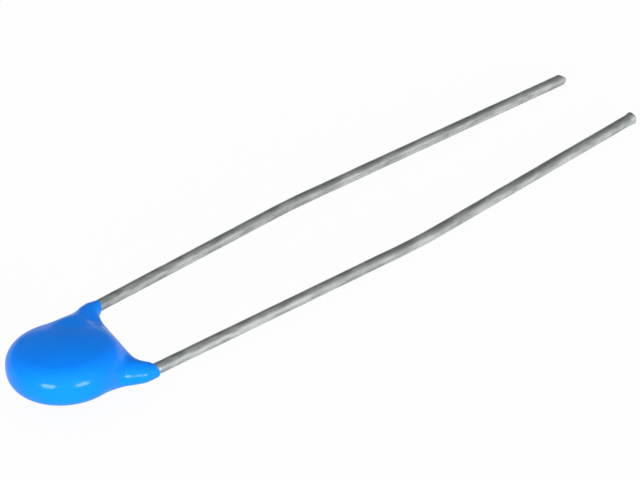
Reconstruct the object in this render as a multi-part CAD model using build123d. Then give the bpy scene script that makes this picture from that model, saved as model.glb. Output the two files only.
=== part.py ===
"""Disc varistor: a coated zinc oxide disc with two round wire leads, lying as it comes to rest.

Everything is first modelled about the centre of the ceramic disc: the disc's axis is Z, the
leads leave towards +X, the far lead is on the top face (+Y side) and the near lead is on the
bottom face (-Y side). At the end the whole part is laid on the surface that it rests on.
Millimetres throughout.
"""

import math
import os

from build123d import *

# Ceramic disc and its fired silver electrodes
disc_diameter = 5.0
disc_thickness = 0.62
electrode_diameter = 4.2
electrode_thickness = 0.02

# Leads: tinned copper wire
wire_diameter = 0.6
lead_pitch = 5.0
disc_shift = 0.24            # the disc sits this far off the leads' middle, towards the far lead
press_flat = 0.03            # depth of the flat where the wire is pressed on its electrode
inner_length = 1.1           # wire end past the middle of the disc
far_corner = 0.33            # corner of the far lead under the coat, past the coat's round edge
near_corner = 0.03
corner_bend_radius = 2.0
shallow_bend_radius = 36.0   # the slight bend halfway along each lead

# Where each lead bends and ends: along X, sideways from its own pitch line, up from its face
far_bend = (16.45, 0.4, 0.62)
far_tip = (34.9, -0.23, 1.28)
near_bend = (19.8, 0.73, 0.83)
near_tip = (35.2, 0.05, 1.79)

# Cut ends of the leads: the snips left two slanted facets on the far end, each with the way it
# looks and how far behind the tip it meets the wire's centre line, and squeezed the near end wider
far_facets = (
    ((0.86, -0.36, -0.36), 0.1),
    ((0.8, 0.3, 0.5), 0.17),
)
near_flare = 0.05
near_flare_length = 0.45
near_edge_bevel = 0.12

# Solder at the crossing of each lead and its electrode
solder_length = 3.0
solder_width = 1.5
solder_height = 0.7
solder_taper = 25.0
solder_chamfer = 0.12

# Epoxy coat
rim_cover = 0.32             # coat beyond the ceramic's edge
face_cover = 0.47            # coat over the wire, in the middle of each face
rim_radius = 1.13            # rounding of the rim
far_skin = 0.05              # coat around the far lead, where it leaves
near_skin = 0.13
far_sleeve = 1.06            # end of the coat on the far lead, past the round edge
near_sleeve = 0.34
far_sleeve_lean = (1, -0.35, -0.3)
near_sleeve_lean = (1, 0.55, 0.65)
trim_size = 6.0

# Necks, where the coat runs out along the leads, as oval sections square to the wire: distance
# along the wire past the round edge, half width, half height, and how far the middle of the
# section lies from the wire towards the disc's mid-plane
far_neck_ovals = (
    (-0.97, 1.62, 0.86, 0.42),
    (-0.07, 0.75, 0.68, 0.2),
    (0.58, 0.42, 0.47, 0.04),
)
near_neck_ovals = (
    (-1.02, 1.4, 0.78, 0.3),
    (-0.32, 1.26, 0.76, 0.26),
    (0.43, 0.92, 0.62, 0.1),
    (1.18, 0.62, 0.5, 0.02),
)
thin_from = 1.38             # from here, past the round edge, the neck is a thin sleeve
thin_to = 2.18

# Web between the necks, as oval sections across the part: place as a share of the way from the
# near lead to the far one, tip past the round edge and half thickness
web_ovals = (
    (0.95, 0.95, 0.28),
    (0.88, 0.69, 0.52),
    (0.76, 0.46, 0.72),
    (0.6, 0.25, 0.8),
    (0.42, 0.13, 0.78),
    (0.26, 0.11, 0.68),
    (0.14, 0.16, 0.54),
    (0.05, 0.22, 0.38),
    (0.02, 0.25, 0.2),
)
web_depth = 1.7              # size of each section along X

# Worked out from the sizes above
wire_radius = wire_diameter / 2
disc_half = disc_thickness / 2
face_height = disc_half + electrode_thickness
wire_height = face_height + wire_radius - press_flat
coat_radius = disc_diameter / 2 + rim_cover
coat_half = wire_height + wire_radius + face_cover
face_radius = ((coat_radius - rim_radius) ** 2 + coat_half**2 - rim_radius**2) / (
    2 * (coat_half - rim_radius)
)
far_line = lead_pitch / 2 - disc_shift
near_line = -lead_pitch / 2 - disc_shift
flare_radius = wire_radius + near_flare


def unit(vector):
    return vector * (1 / vector.length)


def lead_points(side, past_edge, line, bend, tip):
    """Corner points of a lead's centre line; side is 1 on the top face and -1 on the bottom."""
    corner = Vector(coat_radius + past_edge, line, side * wire_height)
    middle = Vector(0, 0, side * wire_height)
    inner_end = middle - unit(corner - middle) * inner_length
    outer = [
        Vector(along, line + side * sideways, side * wire_height + rise)
        for along, sideways, rise in (bend, tip)
    ]
    return [inner_end, corner, *outer]


far_points = lead_points(1, far_corner, far_line, far_bend, far_tip)
near_points = lead_points(-1, near_corner, near_line, near_bend, near_tip)


def point_at(points, along):
    """Point of a lead's outer run at a given X."""
    corner, bend = points[1], points[2]
    return corner + (bend - corner) * ((along - corner.X) / (bend.X - corner.X))


# Leads


def wire_path(points):
    return FilletPolyline(*points, radius=(corner_bend_radius, shallow_bend_radius))


def bare_wire(points):
    path = wire_path(points)
    section = Plane(origin=path @ 0, z_dir=path % 0) * Circle(wire_radius)
    return sweep(section, path=path)


def pressed(wire, side):
    """Flattens the wire where it lies on its electrode."""
    depth = 2 * wire_radius
    slab = Pos(0, 0, side * (face_height - depth / 2)) * Box(
        2 * coat_radius, 2 * coat_radius, depth
    )
    return wire - slab


def waste(plane, size):
    """Block of waste on the outer side of a cutting plane."""
    return plane * Box(size, size, size, align=(Align.CENTER, Align.CENTER, Align.MIN))


def far_lead():
    """Snipped by two jaws, so the end is a blunt wedge of two slanted facets."""
    wire = pressed(bare_wire(far_points), 1)
    end = far_points[-1]
    run = unit(end - far_points[-2])
    for looks, behind in far_facets:
        wire = wire - waste(Plane(origin=end - run * behind, z_dir=looks), 4 * wire_diameter)
    return wire.solid()


def near_lead():
    """Squeezed off, so the end is flared like a rivet and its edge is bevelled."""
    wire = pressed(bare_wire(near_points), -1)
    end = near_points[-1]
    run = unit(end - near_points[-2])
    start = Plane(origin=end - run * near_flare_length, z_dir=run)
    flare = start * Cone(
        wire_radius, flare_radius, near_flare_length, align=(Align.CENTER, Align.CENTER, Align.MIN)
    )
    outer_edge = flare.edges().sort_by(lambda edge: (edge.center() - end).length)[0]
    flare = chamfer(outer_edge, near_edge_bevel)
    return (wire - waste(start, 4 * wire_diameter) + flare).solid()


# Disc, electrodes and solder


def ceramic_disc():
    return Cylinder(disc_diameter / 2, disc_thickness).solid()


def electrode(side):
    middle = side * (disc_half + electrode_thickness / 2)
    return (Pos(0, 0, middle) * Cylinder(electrode_diameter / 2, electrode_thickness)).solid()


def solder_joint(side, points, lead):
    """A long mound of solder on the electrode, with the wire lying in it."""
    corner = points[1]
    base = Plane(
        origin=(0, 0, side * face_height), x_dir=(corner.X, corner.Y, 0), z_dir=(0, 0, side)
    )
    footprint = base * SlotOverall(solder_length, solder_width)
    mound = extrude(footprint, solder_height, taper=solder_taper)
    top = mound.faces().sort_by(Axis.Z)[-1 if side > 0 else 0]
    mound = chamfer(top.edges(), solder_chamfer)
    return (mound - lead).solid()


# Coat


def dipped_body():
    """Domed faces and a round rim, turned about the disc's axis."""
    sphere_drop = face_radius - coat_half
    slope = math.atan2(coat_radius - rim_radius, sphere_drop)

    def on_face(angle):
        return (face_radius * math.sin(angle), face_radius * math.cos(angle) - sphere_drop)

    top, shoulder, half_way = on_face(0), on_face(slope), on_face(slope / 2)
    outline = [
        ThreePointArc(top, half_way, shoulder),
        ThreePointArc(shoulder, (coat_radius, 0), (shoulder[0], -shoulder[1])),
        ThreePointArc((shoulder[0], -shoulder[1]), (half_way[0], -half_way[1]), (0, -top[1])),
        Line((0, -top[1]), top),
    ]
    return revolve(Plane.XZ * make_face(outline), axis=Axis.Z)


def neck(points, side, ovals, skin):
    """Coat that runs out along one lead and thins down to a sleeve on the wire."""
    path = wire_path(points)
    thin = wire_radius + skin
    sleeve = ((thin_from, thin, thin, 0), (thin_to, thin, thin, 0))
    sections = []
    for past_edge, half_width, half_height, inward in ovals + sleeve:
        distance = inner_length + coat_radius + past_edge
        run = path.tangent_at(distance, PositionMode.LENGTH)
        middle = path.position_at(distance, PositionMode.LENGTH) - Vector(0, 0, side * inward)
        across = Vector(0, 0, 1).cross(run)
        square = Plane(origin=middle, x_dir=across, z_dir=run)
        sections.append(square * Ellipse(half_width, half_height))
    return loft(sections)


def web():
    """Thin coat that spans the space between the necks, with a rounded edge.

    It leans from the height of the near lead to that of the far one.
    """
    sections = []
    for share, tip, half in web_ovals:
        across = near_line + share * (far_line - near_line)
        height = (2 * share - 1) * wire_height
        middle = (coat_radius + tip - web_depth / 2, across, height)
        upright = Plane(origin=middle, x_dir=(1, 0, 0), z_dir=(0, -1, 0))
        sections.append(upright * Ellipse(web_depth / 2, half))
    return loft(sections)


def past_sleeve(points, past_edge, lean):
    """Waste past the end of a sleeve; lean tips its face off square to the lead."""
    return waste(Plane(origin=point_at(points, coat_radius + past_edge), z_dir=lean), trim_size)


def coat_outside():
    """Outer form of the coat, solid right through."""
    far_run = neck(far_points, 1, far_neck_ovals, far_skin)
    near_run = neck(near_points, -1, near_neck_ovals, near_skin)
    far_run = far_run - past_sleeve(far_points, far_sleeve, far_sleeve_lean)
    near_run = near_run - past_sleeve(near_points, near_sleeve, near_sleeve_lean)
    body = dipped_body() + web() + far_run + near_run
    return body.solids().sort_by(SortBy.VOLUME)[-1]


# Laying the part down


def resting_plane():
    """Plane that touches the domed bottom face and both lead ends."""
    dome = Vector(0, 0, face_radius - coat_half)
    spans = []
    drops = []
    for tip, radius in ((far_points[-1], wire_radius), (near_points[-1], flare_radius)):
        spans.append(tip - dome)
        drops.append(radius - face_radius)
    across = spans[0].cross(spans[1])
    aa, ab, bb = (spans[i].dot(spans[j]) for i, j in ((0, 0), (0, 1), (1, 1)))
    det = aa * bb - ab * ab
    flat = spans[0] * ((drops[0] * bb - drops[1] * ab) / det)
    flat += spans[1] * ((drops[1] * aa - drops[0] * ab) / det)
    up = across * (math.sqrt(1 - flat.dot(flat)) / across.length)
    if up.Z < 0:
        up = up * -1
    up = up + flat
    along = Vector(1, 0, 0) - up * up.X
    return Plane(origin=dome - up * face_radius, x_dir=along, z_dir=up)


def build():
    far = far_lead()
    near = near_lead()
    pieces = {
        "ceramic_disc": ceramic_disc(),
        "top_electrode": electrode(1),
        "bottom_electrode": electrode(-1),
        "far_lead": far,
        "near_lead": near,
        "top_solder_joint": solder_joint(1, far_points, far),
        "bottom_solder_joint": solder_joint(-1, near_points, near),
    }
    coat = coat_outside() - list(pieces.values())
    pieces["epoxy_coat"] = coat.solids().sort_by(SortBy.VOLUME)[-1]
    laid = {
        name: piece.moved(resting_plane().location.inverse()) for name, piece in pieces.items()
    }
    box = Compound(list(laid.values())).bounding_box()
    centre = box.center()
    home = Pos(-centre.X, -centre.Y, -box.min.Z)
    return {name: home * piece for name, piece in laid.items()}


os.makedirs("parts", exist_ok=True)
for name, piece in build().items():
    export_step(piece, f"parts/{name}.step")
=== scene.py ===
import math

import bpy
from mathutils import Matrix, Vector


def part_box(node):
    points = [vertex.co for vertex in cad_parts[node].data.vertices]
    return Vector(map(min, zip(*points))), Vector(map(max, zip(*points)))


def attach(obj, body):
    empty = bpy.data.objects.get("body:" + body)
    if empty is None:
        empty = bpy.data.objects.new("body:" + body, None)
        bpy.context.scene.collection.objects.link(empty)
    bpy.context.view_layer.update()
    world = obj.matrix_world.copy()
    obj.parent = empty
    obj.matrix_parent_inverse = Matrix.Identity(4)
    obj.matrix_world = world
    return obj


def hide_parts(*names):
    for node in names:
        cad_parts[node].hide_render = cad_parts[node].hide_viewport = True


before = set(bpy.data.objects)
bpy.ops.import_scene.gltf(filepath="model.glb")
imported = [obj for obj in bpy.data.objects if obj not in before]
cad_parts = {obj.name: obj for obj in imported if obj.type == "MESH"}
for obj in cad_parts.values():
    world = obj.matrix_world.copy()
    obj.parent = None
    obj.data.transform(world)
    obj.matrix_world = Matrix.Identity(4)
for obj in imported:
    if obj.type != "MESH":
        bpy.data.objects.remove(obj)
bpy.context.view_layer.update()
bpy.context.scene.view_settings.view_transform = "Standard"


# The varistor's ceramic disc: zinc oxide powder, pressed and sintered to a hard, dark grey,
# slightly grainy tablet. It is the working part, and the rest is laid out about it.


class Flow:
    """A node's output that takes part in formulas: each operator adds a node for its sum."""

    def __init__(self, tree, socket=None):
        self.tree = tree
        self.socket = socket

    def node(self, kind, settings=None, values=None, output=0):
        """Any node: its settings first, then the values or links of its sockets."""
        made = self.tree.nodes.new(kind)
        for name, setting in (settings or {}).items():
            setattr(made, name, setting)
        for name, value in (values or {}).items():
            if isinstance(value, Flow):
                self.tree.links.new(value.socket, made.inputs[name])
            else:
                made.inputs[name].default_value = value
        return Flow(self.tree, made.outputs[output])

    def also(self, output):
        """Another output of the same node."""
        return Flow(self.tree, self.socket.node.outputs[output])

    def into(self, socket):
        self.tree.links.new(self.socket, socket)

    def math(self, operation, *others):
        values = dict(enumerate((self, *others)))
        return self.node("ShaderNodeMath", {"operation": operation}, values)

    def vector_math(self, operation, other=None, output=0):
        values = {0: self}
        if operation == "SCALE":
            values["Scale"] = other
        elif other is not None:
            values[1] = other
        return self.node("ShaderNodeVectorMath", {"operation": operation}, values, output)

    def parts(self):
        """The X of a vector; its Y and Z are other outputs of the same node."""
        return self.node("ShaderNodeSeparateXYZ", values={0: self})

    def __add__(self, other):
        return self.math("ADD", other)

    def __radd__(self, other):
        return self.math("ADD", other)

    def __sub__(self, other):
        return self.math("SUBTRACT", other)

    def __rsub__(self, other):
        return self.math("MULTIPLY", -1.0).math("ADD", other)

    def __mul__(self, other):
        return self.math("MULTIPLY", other)

    def __rmul__(self, other):
        return self.math("MULTIPLY", other)

    def __truediv__(self, other):
        return self.math("DIVIDE", other)

    def __rtruediv__(self, other):
        return self.math("POWER", -1.0).math("MULTIPLY", other)

    def __pow__(self, power):
        return self.math("POWER", power)

    def __gt__(self, other):
        return self.math("GREATER_THAN", other)

    def between(self, low, high, start=0.0, end=1.0, kind="LINEAR"):
        """Goes from start to end while this value rises from low to high, and stops there."""
        values = {0: self, 1: low, 2: high, 3: start, 4: end}
        return self.node("ShaderNodeMapRange", {"interpolation_type": kind}, values)

    def blend(self, first, second):
        """Colour that goes from first to second as this value goes from 0 to 1."""
        values = {0: self, 6: first, 7: second}
        return self.node("ShaderNodeMix", {"data_type": "RGBA"}, values, output=2)

    def noise(self, scale, detail, rough):
        values = {"Vector": self, "Scale": scale, "Detail": detail, "Roughness": rough}
        return self.node("ShaderNodeTexNoise", values=values)

    def bump(self, strength, height):
        values = {"Height": self, "Strength": strength, "Distance": height}
        return self.node("ShaderNodeBump", values=values)


def finish_for(name, **constants):
    """A new material with constants on its shader; gives it, the shader and millimetres."""
    material = bpy.data.materials.new(name)
    material.use_nodes = True
    shader = material.node_tree.nodes["Principled BSDF"]
    for socket, value in constants.items():
        shader.inputs[socket.replace("_", " ")].default_value = value
    place = Flow(material.node_tree).node("ShaderNodeTexCoord", output="Object")
    return material, shader, place.vector_math("SCALE", 1000.0)


def give_finish(node, material):
    """A CAD node that is shown as it is takes this material."""
    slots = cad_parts[node].data.materials
    slots.clear()
    slots.append(material)


disc_dark = (0.035, 0.038, 0.036, 1)
disc_light = (0.085, 0.088, 0.08, 1)
grains_per_millimetre = 9.0

sintered, shader, millimetres = finish_for("sintered zinc oxide", Specular_IOR_Level=0.35)
grain = millimetres.noise(grains_per_millimetre, detail=4.0, rough=0.6)
grain.between(0.35, 0.65).blend(disc_dark, disc_light).into(shader.inputs["Base Color"])
grain.between(0.2, 0.8, 0.55, 0.8).into(shader.inputs["Roughness"])
grain.bump(strength=0.4, height=0.00001).into(shader.inputs["Normal"])
give_finish("ceramic_disc", sintered)

# The disc's own frame, in which the coat and the leads are laid out in millimetres: its axis
# is Z, the leads leave towards +X, and its middle is at the origin.
disc_low, disc_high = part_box("ceramic_disc")
disc_middle = (disc_low + disc_high) / 2
flat_face = max(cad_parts["ceramic_disc"].data.polygons, key=lambda face: face.area)
disc_axis = flat_face.normal.copy()
if disc_axis.z < 0:
    disc_axis.negate()
disc_along = Vector((1, 0, -disc_axis.x / disc_axis.z)).normalized()
disc_across = disc_axis.cross(disc_along)
in_place = Matrix.Translation(disc_middle)
in_place @= Matrix((disc_along, disc_across, disc_axis)).transposed().to_4x4()
in_place @= Matrix.Scale(0.001, 4)


# The electrodes: silver paste printed on both faces of the disc and fired, so they are a
# thin, matt, slightly yellowish white layer that stops short of the disc's edge.

silver_dark = (0.56, 0.54, 0.49, 1)
silver_light = (0.78, 0.76, 0.71, 1)
specks_per_millimetre = 14.0

fired_silver, shader, millimetres = finish_for("fired silver", Metallic=0.9)
speckle = millimetres.noise(specks_per_millimetre, detail=3.0, rough=0.6)
speckle.between(0.3, 0.7).blend(silver_dark, silver_light).into(shader.inputs["Base Color"])
speckle.between(0.2, 0.8, 0.5, 0.7).into(shader.inputs["Roughness"])
speckle.bump(strength=0.3, height=0.000005).into(shader.inputs["Normal"])

for side in ("top", "bottom"):
    give_finish(side + "_electrode", fired_silver)


# The leads: hard drawn copper wire, tinned, so it is bright grey with faint draw marks. Each
# is pressed on its electrode, leaves the coat and bends once more, very slightly. The far
# one was snipped to a chisel edge, and the near one was squeezed off, which flared its end.

# Each route is the corners of a wire's centre line, from its end on the electrode to its free
# end, and corner_bends are the radii that the wire bends to there.
wire_radius = 0.3
wire_height = 0.6
far_corner = (3.15, 2.26, wire_height)
far_route = (
    (-0.894, -0.641, wire_height),
    far_corner,
    (16.45, 2.66, 1.22),
    (35.0, 2.027, 1.884),
)
near_corner = (2.85, -2.74, -wire_height)
near_route = (
    (-0.793, 0.762, -wire_height),
    near_corner,
    (19.8, -3.47, 0.23),
    (35.2, -2.79, 1.19),
)
corner_bends = (0.0, 2.0, 36.0, 0.0)
bend_steps = 24
wire_sides = 48
wire_rings = 420
start_share = 0.01
tip_from_share = 0.75
tip_to_share = 0.96
tip_length = 0.8
same_spot = 0.0005
sharp_fold = 0.5


def recipe(name, **sizes):
    """A geometry tree with a named input for each size; gives it and a flow for each input."""
    tree = bpy.data.node_groups.new(name, "GeometryNodeTree")
    tree.interface.new_socket("Geometry", in_out="INPUT", socket_type="NodeSocketGeometry")
    tree.interface.new_socket("Geometry", in_out="OUTPUT", socket_type="NodeSocketGeometry")
    for size, kind in sizes.items():
        tree.interface.new_socket(
            size.replace("_", " "), in_out="INPUT", socket_type="NodeSocket" + kind
        )
    entry = tree.nodes.new("NodeGroupInput")
    return tree, {socket.name: Flow(tree, socket) for socket in entry.outputs if socket.name}


def end_recipe(tree, geometry, material):
    """The end of every tree: real geometry, its material, the tree's output."""
    geometry = geometry.node("GeometryNodeRealizeInstances", values={0: geometry})
    geometry = geometry.node(
        "GeometryNodeSetMaterial", values={0: geometry, "Material": material}
    )
    geometry.into(tree.nodes.new("NodeGroupOutput").inputs[0])


def made_by(tree, name, source, sizes):
    """Runs a tree on a mesh with these sizes, and gives the result as a plain piece."""
    holder = bpy.data.objects.new(name + " source", source)
    bpy.context.scene.collection.objects.link(holder)
    step = holder.modifiers.new("shape", "NODES")
    step.node_group = tree
    for item in tree.interface.items_tree:
        if item.in_out == "INPUT" and item.name in sizes:
            step[item.identifier] = sizes[item.name]
    graph = bpy.context.evaluated_depsgraph_get()
    mesh = bpy.data.meshes.new_from_object(holder.evaluated_get(graph), depsgraph=graph)
    holder.modifiers.clear()
    bpy.data.objects.remove(holder)
    mesh.transform(in_place)
    piece = bpy.data.objects.new(name, mesh)
    bpy.context.scene.collection.objects.link(piece)
    return piece


def stands_for(piece, node):
    """The piece moves with the part and hides this CAD node."""
    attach(piece, "root")
    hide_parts(node)


def route_mesh(name, points, bends):
    """The corner points of a wire's centre line, joined by edges, each with its bend radius."""
    mesh = bpy.data.meshes.new(name)
    mesh.from_pydata(points, [(i, i + 1) for i in range(len(points) - 1)], [])
    mesh.attributes.new("bend", "FLOAT", "POINT").data.foreach_set("value", bends)
    return mesh


copper_tinge = (0.36, 0.30, 0.24, 1)
tin_dark = (0.40, 0.43, 0.425, 1)
tin_light = (0.74, 0.775, 0.77, 1)
tinge_from, tinge_to = 4.6, 6.2

# The attribute "drawn" is a point's place in the straight wire: round it, then along it.
tinned, shader, millimetres = finish_for("tinned copper wire", Metallic=1.0)
drawn = millimetres.node("ShaderNodeAttribute", {"attribute_name": "drawn"}, output="Vector")


def drawn_marks(share, scale, detail, rough):
    """Marks that are stretched along the wire: the smaller the share, the longer they are."""
    return drawn.vector_math("MULTIPLY", (1, 1, share)).noise(scale, detail, rough)


streaks = drawn_marks(0.05, scale=8.0, detail=2.0, rough=0.6)
mottle = drawn_marks(0.35, scale=2.2, detail=1.5, rough=0.5)
flecks = drawn_marks(0.35, scale=4.5, detail=1.0, rough=0.5)
tone = streaks * 0.15 + mottle * 0.55 + flecks * 0.3
tin = tone.between(0.4, 0.6).blend(tin_dark, tin_light)
near_coat = drawn.parts().also("Z").between(tinge_from, tinge_to, 1.0, 0.0, "SMOOTHSTEP")
tinge = (near_coat * mottle).between(0.2, 0.7, 0.0, 0.55)
tinge.blend(tin, copper_tinge).into(shader.inputs["Base Color"])
tone.between(0.38, 0.62, 0.36, 0.2).into(shader.inputs["Roughness"])
tone.bump(strength=0.5, height=0.000012).into(shader.inputs["Normal"])

wire_tree, size = recipe(
    "drawn wire",
    Radius="Float",
    Flare="Float",
    Flare_length="Float",
    Edge_round="Float",
    Tip="Vector",
    First_cut="Vector",
    First_depth="Float",
    Second_cut="Vector",
    Second_depth="Float",
)
route = size["Radius"].node("GeometryNodeMeshToCurve", values={0: size["Geometry"]})
bend = route.node(
    "GeometryNodeInputNamedAttribute", {"data_type": "FLOAT"}, {"Name": "bend"}
)
route = route.node(
    "GeometryNodeFilletCurve",
    {"mode": "POLY"},
    {0: route, "Count": bend_steps, "Radius": bend},
)
length = route.node("GeometryNodeCurveLength", values={0: route})

# The skin is a flat grid, rolled about the route: its rows are rings along the wire, the first
# and the last of them drawn in to close the ends, and those of the tip closer together.
skin = route.node(
    "GeometryNodeMeshGrid",
    values={
        "Size X": 1.0,
        "Size Y": 1.0,
        "Vertices X": wire_rings,
        "Vertices Y": wire_sides + 1,
    },
)
grid = skin.node("GeometryNodeInputPosition").parts()
row = grid + 0.5
turn = (grid.also("Y") + 0.5) * math.tau
plain = row.between(start_share, tip_from_share) * (length - tip_length)
travelled = plain + row.between(tip_from_share, tip_to_share, 0.0, tip_length)
to_end = length - travelled
lip = size["Edge round"]
inset = lip - (lip**2 - (lip - to_end).math("MAXIMUM", 0.0) ** 2).math("SQRT")
widening = size["Flare"] * (1 - to_end.between(0.0, size["Flare length"], kind="SMOOTHSTEP"))
open_part = row.between(0.0, start_share) * row.between(tip_to_share, 1.0, 1.0, 0.0)
reach = (size["Radius"] + widening - inset) * open_part
sample = route.node(
    "GeometryNodeSampleCurve",
    {"mode": "LENGTH"},
    {"Curves": route, "Length": travelled},
    output="Position",
)
run = sample.also("Tangent")
sideways = run.vector_math("CROSS_PRODUCT", (0, 0, 1)).vector_math("NORMALIZE")
upward = sideways.vector_math("CROSS_PRODUCT", run)
spot = sample.vector_math("ADD", sideways.vector_math("SCALE", turn.math("COSINE") * reach))
spot = spot.vector_math("ADD", upward.vector_math("SCALE", turn.math("SINE") * reach))

# Each cut is a plane across the tip, so many millimetres back from it and square to its
# vector. What is beyond the plane is pushed back onto it, along the wire.
for cut in ("First", "Second"):
    square = size[cut + " cut"]
    beyond = spot.vector_math("SUBTRACT", size["Tip"]).vector_math("DOT_PRODUCT", square, "Value")
    beyond = (beyond + size[cut + " depth"]).math("MAXIMUM", 0.0)
    back = beyond / run.vector_math("DOT_PRODUCT", square, "Value")
    spot = spot.vector_math("SUBTRACT", run.vector_math("SCALE", back))
mark = skin.node(
    "ShaderNodeCombineXYZ",
    values={
        0: turn.math("COSINE") * wire_radius,
        1: turn.math("SINE") * wire_radius,
        2: travelled,
    },
)
skin = skin.node(
    "GeometryNodeStoreNamedAttribute",
    {"data_type": "FLOAT_VECTOR", "domain": "POINT"},
    {0: skin, "Name": "drawn", "Value": mark},
)
skin = skin.node("GeometryNodeSetPosition", values={0: skin, "Position": spot})
skin = skin.node("GeometryNodeMergeByDistance", values={0: skin, "Distance": same_spot})
fold = skin.node("GeometryNodeInputMeshEdgeAngle")
skin = skin.node(
    "GeometryNodeSetShadeSmooth",
    {"domain": "EDGE"},
    {0: skin, "Selection": fold > sharp_fold, "Shade Smooth": False},
)
end_recipe(wire_tree, skin, tinned)

far_tip = {
    "Flare": 0.0,
    "Flare length": 0.3,
    "Edge round": 0.02,
    "First cut": (0.86, -0.36, -0.36),
    "First depth": 0.1,
    "Second cut": (0.8, 0.3, 0.5),
    "Second depth": 0.17,
}
near_tip = {
    "Flare": 0.045,
    "Flare length": 0.4,
    "Edge round": 0.08,
    "First cut": (0.99, 0.1, 0.08),
    "First depth": 0.0,
    "Second cut": (1.0, 0.0, 0.0),
    "Second depth": 0.0,
}
for name, points, tip in (
    ("far_lead", far_route, far_tip),
    ("near_lead", near_route, near_tip),
):
    sizes = {**tip, "Radius": wire_radius, "Tip": points[-1]}
    lead = made_by(wire_tree, name + "_wire", route_mesh(name, points, corner_bends), sizes)
    stands_for(lead, name)


# The solder: a mound on each electrode that wets the wire, drawn up and left to set, so it
# is satin grey and very slightly frosted.

solder_grey = (0.55, 0.56, 0.57, 1)
frost_per_millimetre = 11.0

solder, shader, millimetres = finish_for("set solder", Metallic=1.0, Base_Color=solder_grey)
frost = millimetres.noise(frost_per_millimetre, detail=3.0, rough=0.55)
frost.between(0.3, 0.7, 0.28, 0.5).into(shader.inputs["Roughness"])
frost.bump(strength=0.25, height=0.00001).into(shader.inputs["Normal"])

for side in ("top", "bottom"):
    give_finish(side + "_solder_joint", solder)


# The coat: the soldered disc was dipped in blue epoxy and cured. It lies over the disc as a
# smooth dome on both sides, spans the space between the leads as a web, and thins down along
# both leads. It is glossy, even in colour and unmarked.

coat_sizes = {
    "Coat radius": 2.83,
    "Coat half": 1.36,
    "Rim radius": 1.0,
    "Rim flat": 0.09,
    "Neck meniscus": 0.8,
    "Web meniscus": 0.9,
    "Far sleeve end": (3.86, 2.26, 0.62),
    "Far sleeve lean": tuple(Vector((1, -0.32, -0.42)).normalized()),
    "Near sleeve end": (3.27, -2.78, -0.59),
    "Near sleeve lean": tuple(Vector((1, 0.2, 0.1)).normalized()),
    "Lip": 0.08,
}
voxel = 0.045
coat_space = ((-3.1, -3.6, -1.7), (4.7, 3.2, 1.7))

coat_blue = (0.0, 0.2, 0.84, 1)
coat_deep = (0.0, 0.19, 0.8, 1)

epoxy, shader, millimetres = finish_for(
    "blue epoxy", Roughness=0.16, IOR=1.5, Specular_IOR_Level=0.15
)
depth = millimetres.noise(0.7, detail=2.0, rough=0.5)
depth.between(0.3, 0.7).blend(coat_blue, coat_deep).into(shader.inputs["Base Color"])
waves = millimetres.noise(1.2, detail=1.0, rough=0.4)
waves.bump(strength=0.08, height=0.00003).into(shader.inputs["Normal"])

coat_tree, size = recipe(
    "dipped coat",
    Coat_radius="Float",
    Coat_half="Float",
    Rim_radius="Float",
    Rim_flat="Float",
    Neck_meniscus="Float",
    Web_meniscus="Float",
    Far_sleeve_end="Vector",
    Far_sleeve_lean="Vector",
    Near_sleeve_end="Vector",
    Near_sleeve_lean="Vector",
    Lip="Float",
)
place = size["Lip"].node("GeometryNodeInputPosition")


def tapered_run(start, end, start_radius, end_radius):
    """Distance outside a round bar that runs from start to end, wider at one of them."""
    span = Vector(end) - Vector(start)
    from_start = place.vector_math("SUBTRACT", start)
    share = from_start.vector_math("DOT_PRODUCT", tuple(span), "Value") / span.length_squared
    share = share.between(0.0, 1.0)
    nearest = share.node("ShaderNodeCombineXYZ", values={0: share, 1: share, 2: share})
    nearest = nearest.vector_math("MULTIPLY", tuple(span))
    gap = from_start.vector_math("SUBTRACT", nearest).vector_math("LENGTH", output="Value")
    return gap - share.between(0.0, 1.0, start_radius, end_radius, "SMOOTHSTEP")


def joined(first, second, meniscus):
    """Two bodies as one, with the hollow between them filled as wet epoxy fills it."""
    return first.math("SMOOTH_MIN", second, meniscus)


# The dome: a shallow ball's cap on each face, which runs smoothly into the round rim. Each
# body of the coat is the distance outside it, so it ends where that is zero.
across = place.parts()
out = (across**2 + across.also("Y") ** 2).math("SQRT")
up = (across.also("Z").math("ABSOLUTE") - size["Rim flat"]).math("MAXIMUM", 0.0)
rim_middle = size["Coat radius"] - size["Rim radius"]
rise = size["Coat half"] - size["Rim flat"] - size["Rim radius"]
drop = (rim_middle**2 - rise**2) / (2 * rise)
face_distance = (out**2 + (up + drop) ** 2).math("SQRT") - (drop + rise)
rim_distance = ((out - rim_middle) ** 2 + up**2).math("SQRT")
at_rim = out * drop > (up + drop) * rim_middle
dome = at_rim * rim_distance + (1 - at_rim) * face_distance - size["Rim radius"]

# The necks: along each lead one bar goes from inside the dome to the bend and thins on the
# way, and the next goes on over the wire as its sleeve.
bar_joint = 0.03
far_bend = (3.4, 2.2, 0.605)
far_neck = tapered_run((1.5, 1.42, 0.35), far_bend, 0.82, 0.37)
far_sleeve = tapered_run(far_bend, (4.6, 2.304, 0.668), 0.37, 0.24)
near_bend = (2.75, -2.58, -0.6)
near_neck = tapered_run((1.0, -1.5, -0.54), near_bend, 0.62, 0.475)
near_sleeve = tapered_run(near_bend, (3.9, -2.98, -0.59), 0.475, 0.3)
ended = {}
for which, neck, sleeve in (
    ("Far", far_neck, far_sleeve),
    ("Near", near_neck, near_sleeve),
):
    past_end = place.vector_math("SUBTRACT", size[which + " sleeve end"]).vector_math(
        "DOT_PRODUCT", size[which + " sleeve lean"], "Value"
    )
    whole = joined(neck, sleeve, bar_joint)
    ended[which] = whole.math("SMOOTH_MAX", past_end, size["Lip"])

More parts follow.
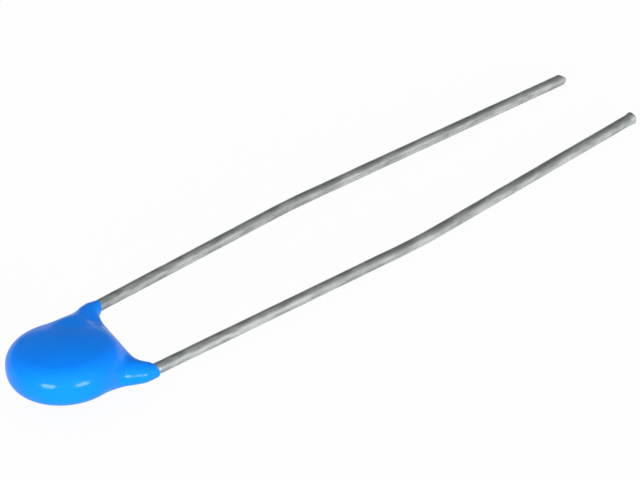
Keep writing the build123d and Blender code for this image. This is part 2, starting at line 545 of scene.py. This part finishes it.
# The web: its hollow edge goes from the far neck to the near one through these places, each
# with the radius that the epoxy has there.
web_joint = 0.05
web_places = (
    ((3.04, 2.0, 0.53), 0.42),
    ((2.63, 0.67, 0.18), 0.47),
    ((2.52, -0.29, -0.18), 0.43),
    ((2.5, -2.2, -0.5), 0.43),
)
web = None
for (start, start_radius), (end, end_radius) in zip(web_places, web_places[1:]):
    stretch = tapered_run(start, end, start_radius, end_radius)
    web = joined(web, stretch, web_joint) if web else stretch

body = joined(dome, web, size["Web meniscus"])
body = joined(body, ended["Far"], size["Neck meniscus"])
body = joined(body, ended["Near"], size["Neck meniscus"])

# The coat's skin goes where the filling is half way between full and empty.
skin_level = 0.5
low, high = coat_space
cells = [round((high[i] - low[i]) / voxel) for i in range(3)]
cloud = place.node(
    "GeometryNodeVolumeCube",
    values={
        "Density": skin_level - body,
        "Background": 0.0,
        "Min": low,
        "Max": high,
        "Resolution X": cells[0],
        "Resolution Y": cells[1],
        "Resolution Z": cells[2],
    },
)
shell = cloud.node(
    "GeometryNodeVolumeToMesh",
    {"resolution_mode": "GRID"},
    {0: cloud, "Threshold": skin_level, "Adaptivity": 0.0},
)
shell = shell.node("GeometryNodeSetShadeSmooth", values={0: shell, "Shade Smooth": True})
end_recipe(coat_tree, shell, epoxy)

coat = made_by(coat_tree, "dipped_coat", bpy.data.meshes.new("coat start"), coat_sizes)
stands_for(coat, "epoxy_coat")


# The table top and the light: the part lies on plain white paper in a white room. The room is
# darker overhead and behind the part, which darkens the upper edges of the bright wires, and
# two low soft boxes stand in front.

paper_white = (0.8, 0.8, 0.8, 1)
table_half = 0.6
whiteness = 0.95

corners = [(-1, -1), (1, -1), (1, 1), (-1, 1)]
table_mesh = bpy.data.meshes.new("table top")
table_mesh.from_pydata(
    [(x * table_half, y * table_half, 0) for x, y in corners], [], [(0, 1, 2, 3)]
)
table = bpy.data.objects.new("table_top", table_mesh)
bpy.context.scene.collection.objects.link(table)
paper, shader, millimetres = finish_for(
    "white paper", Base_Color=paper_white, Roughness=0.9, Specular_IOR_Level=0.1
)
ray = millimetres.node("ShaderNodeLightPath", output="Is Camera Ray")
glow = ray.node("ShaderNodeEmission", values={"Color": (1, 1, 1, 1), "Strength": 1.0})
shown = ray.math("MAXIMUM", ray.also("Is Transmission Ray")) * whiteness
mixed = ray.node(
    "ShaderNodeMixShader", values={0: shown, 1: Flow(ray.tree, shader.outputs[0]), 2: glow}
)
mixed.into(paper.node_tree.nodes["Material Output"].inputs["Surface"])
table_mesh.materials.append(paper)

# How bright the room looks to a glossy surface, and what of it reaches the dull ones.
front = Vector((-0.5, -0.87))
room_back = 0.2
room_above = 0.36
room_front = 0.97
fill_share = 0.15
room_fill = 0.73

world = bpy.data.worlds.new("studio")
bpy.context.scene.world = world
world.use_nodes = True
backdrop = world.node_tree.nodes["Background"]
direction = Flow(world.node_tree).node("ShaderNodeTexCoord", output="Generated").parts()
frontness = direction * front.x + direction.also("Y") * front.y
ray = direction.node("ShaderNodeLightPath", output="Is Camera Ray")
room = frontness.between(-0.85, -0.25, room_back, room_above, "SMOOTHSTEP")
room += frontness.between(-0.1, 0.75, 0.0, room_front - room_above, "SMOOTHSTEP")
fill = room * fill_share + room_fill
soft = ray.also("Is Glossy Ray") * (room - fill) + fill
(ray + (1 - ray) * soft).into(backdrop.inputs["Strength"])
backdrop.inputs["Color"].default_value = (1, 1, 1, 1)

soft_box_width = 0.12
soft_box_height = 0.09
soft_box_away = 0.3
soft_box_power = 0.62
soft_box_rise = math.radians(8.5)


def soft_box(name, turn):
    """A soft box that stands in front of the part and faces it, low over the table."""
    lamp = bpy.data.lights.new(name, "AREA")
    lamp.shape = "RECTANGLE"
    lamp.size = soft_box_width
    lamp.size_y = soft_box_height
    lamp.energy = soft_box_power
    holder = bpy.data.objects.new(name, lamp)
    bpy.context.scene.collection.objects.link(holder)
    level = math.cos(soft_box_rise)
    away = Vector(
        (math.cos(turn) * level, math.sin(turn) * level, math.sin(soft_box_rise))
    )
    holder.location = disc_middle + away * soft_box_away
    holder.rotation_euler = (-away).to_track_quat("-Z", "Y").to_euler()


soft_box("left soft box", math.radians(-158))
soft_box("right soft box", math.radians(-95))


# The camera: a long lens, held level, that looks down on the part from the front left at about
# 39 degrees and from 0.2 m away, so the leads run from the lower left to the upper right.

camera_turn = math.radians(-40.47)
camera_height = math.radians(38.857)
camera_distance = 0.2059
camera_target = Vector((0.000375, 0.000862, 0))
focal_pixels = 4101.9
picture_width = 640

lens = bpy.data.cameras.new("camera")
lens.sensor_width = 36
lens.lens = focal_pixels / picture_width * lens.sensor_width
lens.clip_start = 0.01
camera = bpy.data.objects.new("camera", lens)
bpy.context.scene.collection.objects.link(camera)
towards_camera = Vector(
    (
        math.sin(camera_turn) * math.cos(camera_height),
        -math.cos(camera_turn) * math.cos(camera_height),
        math.sin(camera_height),
    )
)
camera.location = camera_target + towards_camera * camera_distance
camera.rotation_euler = (-towards_camera).to_track_quat("-Z", "Y").to_euler()
bpy.context.scene.camera = camera
